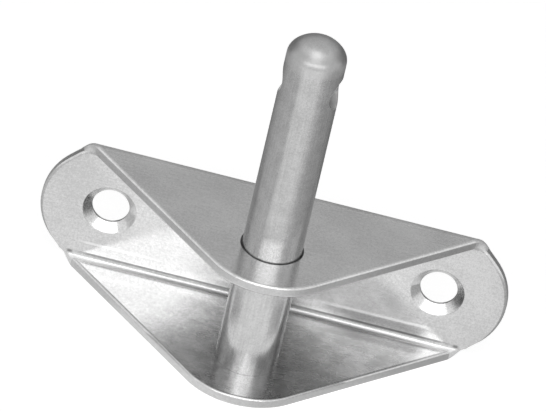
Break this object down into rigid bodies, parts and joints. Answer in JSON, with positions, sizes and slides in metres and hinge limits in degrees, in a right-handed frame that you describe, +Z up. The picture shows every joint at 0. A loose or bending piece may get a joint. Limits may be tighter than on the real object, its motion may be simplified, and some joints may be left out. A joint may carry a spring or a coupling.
{
  "type": "rudder pintle",
  "caption": "Folded stainless bracket with countersunk ears and a tall round pin through both flanges, on which a small boat's rudder hangs and turns.",
  "frame": {"origin": "where the pin's axis meets the top flange's upper face", "axes": "+Z up the pin to its rounded end, +X to the right along the web as seen from the front, +Y out of the web's back face"},
  "size_m": [0.063, 0.0245, 0.0526],
  "materials": {
    "bracket_sheet": "polished stainless sheet with a fine grain",
    "pin_bar": "polished stainless bar"
  },
  "bodies": {
    "root": {"bracket": "bracket_sheet", "pin": "pin_bar"}
  },
  "joints": []
}
